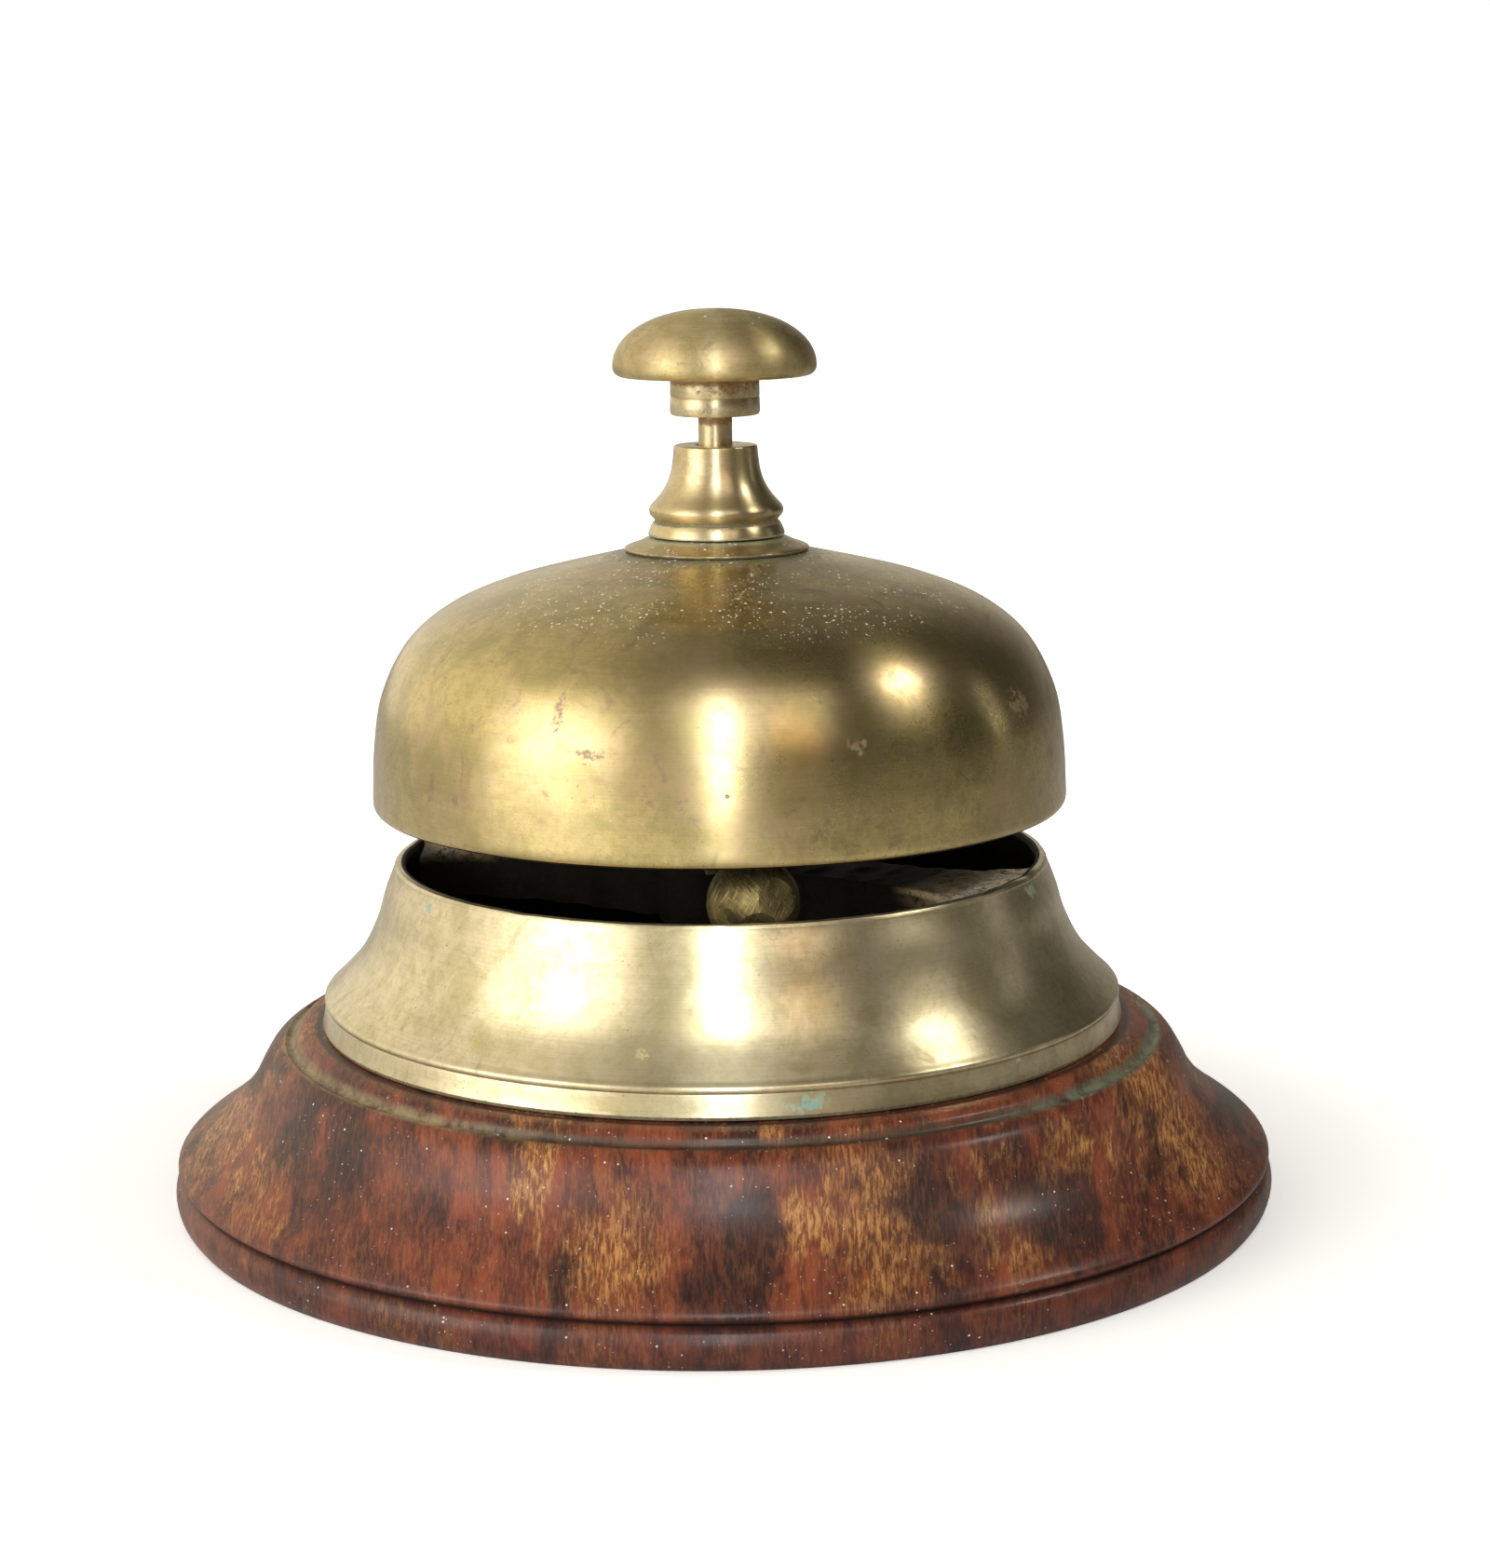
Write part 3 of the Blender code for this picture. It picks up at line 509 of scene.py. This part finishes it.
def make_materials():
    """Every finish on the bell, by a short key."""
    return {
        "gong": brass("gong_brass", 0.85, 0.25, dusty=0.55, bands=GONG_BANDS, marks=GONG_MARKS),
        "ring": brass("ring_brass", 0.5, 0.32, pale=0.75, bands=RING_FOOT_SHADOW_BANDS, marks=RING_MARKS),
        "neck": brass("neck_brass", 0.45, 0.30, dusty=0.2, pale=0.25, relief=0.4, bands=NECK_BANDS),
        "skirt": brass("skirt_brass", 0.8, 0.34, dusty=0.55, relief=0.5, bands=SKIRT_BANDS),
        "knob": brass("knob_brass", 0.75, 0.44, dusty=0.1, pale=0.15, coat=0.25, relief=0.6),
        "collar": brass("collar_brass", 0.6, 0.34, pale=0.55, relief=0.6,
                        bands=COLLAR_SHADE_BANDS, marks=COLLAR_MARKS_AND_SHADE),
        "rod": brass("rod_brass", 0.3, 0.36, pale=0.4, relief=0.4, bands=ROD_SHADOW_BANDS),
        "hammer": filed_brass("hammer_brass"),
        "cast": cast_brass("cast_brass_rough"),
        "inside": shaded_inside_brass("shaded_inside_brass"),
        "steel": steel("dull_steel"),
        "wood": wood("lacquered_wood"),
        "felt": felt("green_felt"),
        "fibre": fibre("red_fibre"),
    }


# ---------------------------------------------------------------- shapes
def arc(cr, cz, radius, start, end, steps):
    """Points on a circle about (cr, cz), from start to end degrees."""
    turns = [radians(start + (end - start) * i / steps) for i in range(steps + 1)]
    return [(cr + radius * cos(a), cz + radius * sin(a)) for a in turns]


def curve(points, steps):
    """A smooth Catmull-Rom curve through the points, steps pieces to a span."""
    ends = [points[0], *points, points[-1]]
    line = []
    for i in range(1, len(ends) - 2):
        p0, p1, p2, p3 = (Vector(p) for p in ends[i - 1:i + 3])
        for k in range(steps):
            t = k / steps
            point = 2 * p1 + (p2 - p0) * t
            point += (2 * p0 - 5 * p1 + 4 * p2 - p3) * t ** 2
            point += (3 * p1 - p0 - 3 * p2 + p3) * t ** 3
            line.append(tuple(point / 2))
    line.append(tuple(points[-1]))
    return line


def inset(points, distance):
    """The line moved sideways by distance, to the right of its direction of travel."""
    moved = []
    for i, (r, z) in enumerate(points):
        before = points[max(i - 1, 0)]
        after = points[min(i + 1, len(points) - 1)]
        dr, dz = after[0] - before[0], after[1] - before[1]
        length = hypot(dr, dz)
        moved.append((r + distance * dz / length, z - distance * dr / length))
    return moved


def turned(outline, around=AROUND):
    """A bmesh in millimetres, turned about Z from a closed (radius, height) outline."""
    bm = bmesh.new()
    rings = []
    for r, z in outline:
        if r < 1e-6:
            rings.append([bm.verts.new((0, 0, z))] * around)
            continue
        turns = [2 * pi * i / around for i in range(around)]
        rings.append([bm.verts.new((r * cos(a), r * sin(a), z)) for a in turns])
    for here, there in zip(rings, rings[1:] + rings[:1]):
        for i in range(around):
            j = (i + 1) % around
            corners = list(dict.fromkeys([here[i], here[j], there[j], there[i]]))
            if len(corners) > 2:
                bm.faces.new(corners)
    return bm


def extruded(outline, low, high):
    """A bmesh with an (x, y) outline between two heights."""
    bm = bmesh.new()
    below = [bm.verts.new((x, y, low)) for x, y in outline]
    above = [bm.verts.new((x, y, high)) for x, y in outline]
    bm.faces.new(below[::-1])
    bm.faces.new(above)
    for i in range(len(outline)):
        j = (i + 1) % len(outline)
        bm.faces.new((below[i], below[j], above[j], above[i]))
    return bm


def about_z(degrees):
    return Matrix.Rotation(radians(degrees), 4, "Z")


def piece(name, bm, mat, body, nodes, matrix=None, sharp=30.0):
    """Make the bmesh a visible piece: metres, outward faces, smooth, riding on its body."""
    if matrix is not None:
        bmesh.ops.transform(bm, matrix=matrix, verts=bm.verts)
    bmesh.ops.scale(bm, vec=(MM, MM, MM), verts=bm.verts)
    bmesh.ops.recalc_face_normals(bm, faces=bm.faces)
    mesh = bpy.data.meshes.new(name)
    bm.to_mesh(mesh)
    bm.free()
    mesh.shade_smooth()
    mesh.set_sharp_from_angle(angle=radians(sharp))
    mesh.materials.append(mat)
    obj = bpy.data.objects.new(name, mesh)
    bpy.context.scene.collection.objects.link(obj)
    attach(obj, body)
    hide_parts(*nodes)
    return obj


def darken_inside(obj, mat):
    """Give the faces that look towards the centre line the inside finish, painted nearly black as shade."""
    obj.data.materials.append(mat)
    for face in obj.data.polygons:
        out = Vector((face.center.x, face.center.y, 0.0)).normalized()
        if face.normal.dot(out) < -0.05 or face.normal.z < -0.7:
            face.material_index = 1


def bevelled(bm, width, segments):
    """Round the edges that turn by more than 60 degrees."""
    edges = [e for e in bm.edges if e.calc_face_angle(0.0) > radians(60.0)]
    bmesh.ops.bevel(bm, geom=edges, offset=width, segments=segments, profile=0.6, affect="EDGES")
    return bm


def roughen(bm, amount, size, seed=0.0):
    """Push the vertices about by noise, as a sand mould does."""
    shift = Vector((seed, seed * 0.7, -seed))
    for vert in bm.verts:
        vert.co += noise.noise_vector(vert.co / size + shift) * amount
    return bm


# ---------------------------------------------------------------- pieces
def make_base(mats):
    """Turned wooden base with its edge bead, slope and groove, and the felt let in underneath."""
    edge = curve([(79.9, 0.1), (80.8, 1.4), (81.2, 3.3), (80.7, 5.1), (79.5, 6.1)], 6)
    upper = curve([(79.5, 6.1), (80.3, 6.6), (80.7, 7.5), (79.6, 8.7), (77.1, 10.4), (72.8, 13.9),
                   (69.9, 17.4), (68.3, 20.4), (66.8, 22.9), (65.6, 24.0), (64.6, 24.5)], 6)
    groove = curve([(64.6, 24.5), (63.9, 24.3), (63.3, 24.6), (62.8, 25.5), (62.0, 26.1),
                    (60.9, BASE_TOP_Z)], 5)
    recess = [(0.0, 2.0), (75.3, 2.0), (75.3, 0.0)]
    outline = [(77.0, 0.0), (79.6, 0.0), *edge, *upper[1:], *groove[1:], (0.0, BASE_TOP_Z), *recess]
    piece("wooden_base_turned", turned(outline), mats["wood"], "base", ["wooden_base"])
    disc = turned([(0, 1.7), (74.6, 1.7), *arc(74.4, 1.1, 0.6, 60, -60, 4), (0, 0.0)], 96)
    piece("felt_disc", roughen(disc, 0.06, 2.0), mats["felt"], "base", ["felt_pad"])


def make_ring(mats):
    """The ring casting, as its turned shell, its bridge bar, its hub and its three screw lugs."""
    flare = curve([(47.9, 50.0), (48.1, 49.3), (49.4, 46.0), (50.8, 41.5), (53.6, 36.2), (58.1, 31.4)], 6)
    crease = [(58.42, 31.2), (58.60, 30.95), (58.64, 30.7), (58.56, 30.4), (58.42, 30.15)]
    lower = [*curve([(58.5, 29.8), (58.8, 28.0)], 3), (59.0, 27.2), (58.8, RING_FOOT_Z)]
    outer = [(46.9, 50.5), (47.6, 50.4), *flare, *crease, *lower]
    inner = inset(flare, 1.7)
    shell = turned([*outer, (56.0, RING_FOOT_Z), *inner[::-1], (46.4, 50.4)])
    # nicks along the rim
    for vert in shell.verts:
        if vert.co.z > 49.6:
            bearing = atan2(vert.co.y, vert.co.x)
            nick = noise.noise(Vector((cos(bearing) * 9.0, sin(bearing) * 9.0, 3.0)))
            vert.co.z -= 0.35 * max(0.0, nick - 0.1) + 0.05 * noise.noise(vert.co * 1.7)
    ring = piece("ring_shell", shell, mats["ring"], "base", ["base_ring"])
    # painted shade: the inward faces take the nearly black inside finish
    darken_inside(ring, mats["inside"])

    # the bridge bar widens where it runs into the wall; it, the hub and the lugs are left as cast
    side = curve([(0.0, 6.0), (26.0, 6.2), (36.0, 7.4), (42.0, 10.2), (45.0, 13.2)], 5)
    rim = arc(0.0, 0.0, 46.6, 14, -14, 4)
    end = [*side[1:], *rim, *[(x, -y) for x, y in side[:0:-1]]]
    plan = [*end, *[(-x, -y) for x, y in end]]
    bar = bevelled(extruded(plan[::-1], 41.5, 50.0), 0.5, 1)
    bmesh.ops.triangulate(bar, faces=bar.faces)
    bmesh.ops.subdivide_edges(bar, edges=bar.edges, cuts=3, use_grid_fill=True)
    bmesh.ops.transform(bar, matrix=about_z(BRIDGE_BEARING), verts=bar.verts)
    roughen(roughen(bar, 0.35, 3.0, 5.0), 0.15, 1.0, 2.0)
    piece("bridge_bar", bar, mats["cast"], "base", ["base_ring"], sharp=50)
    hub = turned([(3.3, 50.1), (8.2, 50.1), (9.0, 49.3), (9.2, 41.0), (8.4, 40.0), (3.3, 40.0)], 64)
    piece("bridge_hub", roughen(hub, 0.12, 1.4), mats["cast"], "base", ["base_ring"])
    plan = [*arc(49.0, 0.0, 5.0, 90, 270, 20), (57.0, -5.0), (57.0, 5.0)]
    for number, bearing in enumerate(SCREW_BEARINGS, 1):
        lug = bevelled(extruded(plan, RING_FOOT_Z, 31.0), 0.5, 2)
        piece(f"ring_lug_{number}", lug, mats["cast"], "base", ["base_ring"], about_z(bearing))


def make_gong(mats):
    """The spun gong with its rolled lip, and the dished washer that the neck clamps on it."""
    outer = curve([(6.0, 95.9), (9.0, 95.9), (13.4, 95.2), (24.0, 92.8), (31.7, 90.7), (39.4, 87.4),
                   (45.3, 82.4), (49.0, 75.2), (50.3, 67.8), (50.7, 60.6)], 7)
    inner = [(r, z) for r, z in inset(outer, 2.8) if r > 6.0]
    lip = curve([(50.7, 60.6), (50.65, 59.3), (50.1, 58.6), (49.2, 58.5), (48.3, 58.8), inner[-1]], 4)
    outline = [(POST_BORE_R, 95.9), *outer[:-1], *lip, *inner[-2::-1], (POST_BORE_R, 93.1)]
    bell = piece("gong_spun", turned(outline), mats["gong"], "base", ["gong"])
    # painted shade: the inward faces take the nearly black inside finish
    darken_inside(bell, mats["inside"])
    dish = curve([(10.3, 97.1), (11.6, 96.5), (13.0, 96.0), (13.4, 95.7), (13.3, 95.4)], 4)
    outline = [(POST_BORE_R, 97.3), (9.9, 97.3), *dish, (9.4, 96.2), (POST_BORE_R, 96.2)]
    washer = turned(outline, AROUND_NECK)
    piece("skirt_washer_dished", washer, mats["skirt"], "base", ["skirt_washer"])


def make_neck(mats):
    """The turned neck, from its rounded top edge over the waist and bead to its foot, and its two bores."""
    edge = arc(5.75, 110.2, 0.3, 80, 0, 3)
    waist = curve([(6.1, 109.6), (6.22, 108.5), (6.45, 107.0), (6.95, 105.4), (7.9, 103.7), (9.1, 102.3)], 6)
    bead = curve([(9.45, 101.9), (9.72, 101.3), (9.6, 100.6), (9.2, 100.1), (8.95, 99.8)], 4)
    foot = curve([(9.2, 99.4), (9.5, 98.9), (9.75, 98.3), (9.9, 97.8)], 4)
    bores = [(POST_BORE_R, 97.6), (POST_BORE_R, 108.0), (ROD_BORE_R, 108.0), (ROD_BORE_R, 110.3)]
    outline = [(5.6, 110.5), *edge, *waist, *bead, (8.95, 99.55), *foot, (9.85, 97.6), *bores, (3.0, 110.5)]
    neck = turned(outline, AROUND_NECK)
    piece("neck_turned", neck, mats["neck"], "base", ["neck"])


def finish_cad_nodes(mats):
    """The pieces that keep their CAD shape: the post and what hangs on it, the lever and the steel parts."""
    finishes = {
        "neck": ("center_post", "post_washer", "post_nut"),
        "skirt": ("hammer_bracket",),
        "fibre": ("seat_washer",),
        "steel": ("pivot_pin", "ring_screw_1", "ring_screw_2", "ring_screw_3", "stop_collar",
                  "hammer_lever", "hammer_nut", "return_spring"),
    }
    for finish, names in finishes.items():
        for name in names:
            mesh = frame["nodes"][name].data
            mesh.materials.clear()
            mesh.materials.append(mats[finish])


def make_plunger(mats):
    """What slides together: the mushroom knob, its collar and the rod with its stop groove."""
    rise = [radians(90 * i / 16) for i in range(1, 17)]
    dome = [(14.7 * sin(a) ** 0.92, 122.0 + 8.0 * cos(a)) for a in rise]
    under = arc(13.3, 121.8, 1.4, -12, -90, 7)
    outline = [(0, 130.0), *dome, *under, (ROD_BORE_R, 120.4), (ROD_BORE_R, 126.0), (0, 126.0)]
    knob = turned(outline, AROUND_NECK)
    piece("press_knob_turned", knob, mats["knob"], "plunger", ["press_knob"])
    upper = curve([(6.42, 119.9), (6.45, 117.6)], 2)
    lower = curve([(6.46, 117.3), (6.5, 115.3)], 2)
    outline = [(ROD_BORE_R, 120.1), (6.2, 120.1), *upper, (6.38, 117.45), *lower, (6.3, 114.9), (6.0, 114.8),
               (ROD_BORE_R, 114.8)]
    collar = turned(outline, 96)
    piece("knob_collar_turned", collar, mats["collar"], "plunger", ["knob_collar"])
    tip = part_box("plunger_rod")[0].z / MM
    outline = [(0, 125.7), (ROD_GROOVE_R, 125.7), (ROD_R, 125.3), (ROD_R, 108.0), (ROD_GROOVE_R, 108.0),
               (ROD_GROOVE_R, 106.1), (ROD_R, 106.1), *arc(0, tip + ROD_R, ROD_R, 0, -82, 8), (0, tip)]
    rod = turned(outline, 64)
    piece("plunger_rod_turned", rod, mats["rod"], "plunger", ["plunger_rod"])


def joint_position(name):
    """Where the CAD joint of that name is, in millimetres."""
    joint = next(j for j in frame["joints"] if j["name"] == name)
    return Vector(joint["pos_m"]) / MM


def make_hammer(mats):
    """The hammer's head: a filed ball with a short neck, on the end of the lever."""
    centre = Vector((39.0, 0.0, 51.5))
    start = Vector((11.0, 0.0, joint_position("hammer_swing").z))
    lean = Vector((0, 0, 1)).rotation_difference(centre - start).to_matrix().to_4x4()
    place = about_z(HAMMER_BEARING) @ Matrix.Translation(centre) @ lean
    ball = [radians(v) for v in range(150, 8, -7)]
    outline = [(1.8, -7.2), (3.1, -7.2), (3.4, -6.9), (3.4, -6.0),
               *[(BALL_R * sin(a), BALL_R * cos(a)) for a in ball], (0, BALL_R), (0, 0), (1.8, 0)]
    head = turned(outline, 96)
    # filed flats: the striking face, and three more towards the outside
    flats = [(Vector((0, 0, 1)), 5.75)]
    to_head = place.to_3x3().inverted()
    for aim, depth in (((0.55, -0.80, 0.25), 5.7), ((0.15, -0.85, -0.50), 5.9), ((-0.60, -0.75, -0.20), 6.1)):
        flats.append((to_head @ Vector(aim).normalized(), depth))
    for direction, depth in flats:
        for vert in head.verts:
            beyond = vert.co.dot(direction) - depth
            if beyond > 0:
                vert.co -= direction * beyond
    piece("hammer_head_ball", head, mats["hammer"], "hammer", ["hammer_head"], place, 18)


# ---------------------------------------------------------------- stage
FLOOR_R = 3.0                # metres
FLOOR_HOLE_R = 0.0785
FLOOR_SIDES = 128
LIGHT_DISTANCE = 1.1


def make_stage():
    """A pale floor, open under the bell so that its underside can be looked at."""
    bm = bmesh.new()
    turns = [2 * pi * i / FLOOR_SIDES for i in range(FLOOR_SIDES)]
    inner = [bm.verts.new((FLOOR_HOLE_R * cos(a), FLOOR_HOLE_R * sin(a), 0.0)) for a in turns]
    outer = [bm.verts.new((FLOOR_R * cos(a), FLOOR_R * sin(a), 0.0)) for a in turns]
    for i in range(FLOOR_SIDES):
        j = (i + 1) % FLOOR_SIDES
        bm.faces.new((inner[i], outer[i], outer[j], inner[j]))
    mesh = bpy.data.meshes.new("floor")
    bm.to_mesh(mesh)
    bm.free()
    floor = bpy.data.objects.new("floor", mesh)
    bpy.context.scene.collection.objects.link(floor)
    # the camera sees it nearly white; what it reflects into the brass is darker on the right
    t = Tree("pale_floor")
    seen = t.nodes.new("ShaderNodeLightPath").outputs["Is Camera Ray"]
    lift = t.span(t.vector("LENGTH", t.place), 80.0, 190.0, 0.35, 1.0)
    sheet = t.mix(t.span(t.x, -180.0, 380.0), (0.84, 0.84, 0.84), (0.42, 0.42, 0.42))
    t.set(Base_Color=t.mix(seen, sheet, (0.92, 0.92, 0.92)), Roughness=0.95, Specular_IOR_Level=0.0)
    t.set(Emission_Color=(1.0, 1.0, 1.0), Emission_Strength=t.math("MULTIPLY", seen, lift))
    mesh.materials.append(t.mat)


def area_light(name, bearing, elevation, size, power, colour):
    """A soft rectangle that looks at the bell; bearing 0 is behind the camera, positive to the right."""
    data = bpy.data.lights.new(name, "AREA")
    data.shape = "RECTANGLE"
    data.size, data.size_y = size
    data.energy = power
    data.color = colour
    lamp = bpy.data.objects.new(name, data)
    bpy.context.scene.collection.objects.link(lamp)
    b, e = radians(bearing), radians(elevation)
    middle = Vector((0, 0, 0.07))
    lamp.location = middle + Vector((sin(b) * cos(e), -cos(b) * cos(e), sin(e))) * LIGHT_DISTANCE
    lamp.rotation_euler = (middle - lamp.location).to_track_quat("-Z", "Y").to_euler()


def make_light():
    """Soft studio light: a room that is dimmer on the right, large soft boxes and a few small lamps."""
    world = bpy.data.worlds.new("studio")
    bpy.context.scene.world = world
    world.use_nodes = True
    nodes, links = world.node_tree.nodes, world.node_tree.links
    background = nodes["Background"]
    direction = nodes.new("ShaderNodeTexCoord").outputs["Generated"]
    # the room is brighter on the left and low down than on the right and overhead
    room = nodes.new("ShaderNodeVectorMath")
    room.operation = "DOT_PRODUCT"
    room.inputs[1].default_value = (-0.90, 0.12, -0.48)
    links.new(direction, room.inputs[0])
    level = nodes.new("ShaderNodeMapRange")
    level.interpolation_type = "SMOOTHSTEP"
    level.inputs["From Min"].default_value = -0.75
    level.inputs["From Max"].default_value = 0.85
    level.inputs["To Min"].default_value = 0.05
    level.inputs["To Max"].default_value = 1.10
    links.new(room.outputs["Value"], level.inputs["Value"])
    # the camera sees a plain white backdrop
    seen = nodes.new("ShaderNodeLightPath").outputs["Is Camera Ray"]
    choose = nodes.new("ShaderNodeMix")
    choose.inputs["B"].default_value = 1.1
    links.new(seen, choose.inputs["Factor"])
    links.new(level.outputs["Result"], choose.inputs["A"])
    links.new(choose.outputs["Result"], background.inputs["Strength"])
    tint = nodes.new("ShaderNodeMix")
    tint.data_type = "RGBA"
    tint.inputs["A"].default_value = (1.0, 0.92, 0.76, 1.0)
    tint.inputs["B"].default_value = (1.0, 1.0, 1.0, 1.0)
    links.new(seen, tint.inputs["Factor"])
    links.new(tint.outputs["Result"], background.inputs["Color"])
    area_light("window_left", -56, 15, (0.95, 0.95), 4.5, (1.0, 0.98, 0.94))
    area_light("window_core", -53, 19, (0.40, 0.50), 1.3, (1.0, 0.99, 0.97))
    area_light("ceiling_front", 14, 42, (0.90, 0.45), 1.9, (1.0, 0.98, 0.92))
    area_light("shelf_front", 27, 31, (0.24, 0.06), 0.30, (1.0, 0.50, 0.10))
    area_light("slit_right", 106, 14, (0.015, 0.40), 0.10, (1.0, 0.97, 0.90))
    area_light("window_behind", 1, 24, (0.045, 0.95), 4.5, (0.95, 0.98, 1.0))
    area_light("lamp_right", 84, 44, (0.10, 0.11), 1.9, (1.0, 0.96, 0.86))


def make_camera():
    """The camera in front of the bell, a little above it."""
    data = bpy.data.cameras.new("camera")
    data.lens = 76.0
    data.sensor_width = 36.0
    camera = bpy.data.objects.new("camera", data)
    bpy.context.scene.collection.objects.link(camera)
    camera.location = (0.0047, -0.4781, 0.1513)
    camera.rotation_euler = (radians(90.0 - 10.74), radians(0.62), 0.0)
    bpy.context.scene.camera = camera


def main():
    mats = make_materials()
    make_base(mats)
    make_ring(mats)
    make_gong(mats)
    make_neck(mats)
    finish_cad_nodes(mats)
    make_plunger(mats)
    make_hammer(mats)
    make_stage()
    make_light()
    make_camera()
    bpy.context.scene.view_settings.view_transform = "Standard"
    bpy.context.view_layer.update()


main()
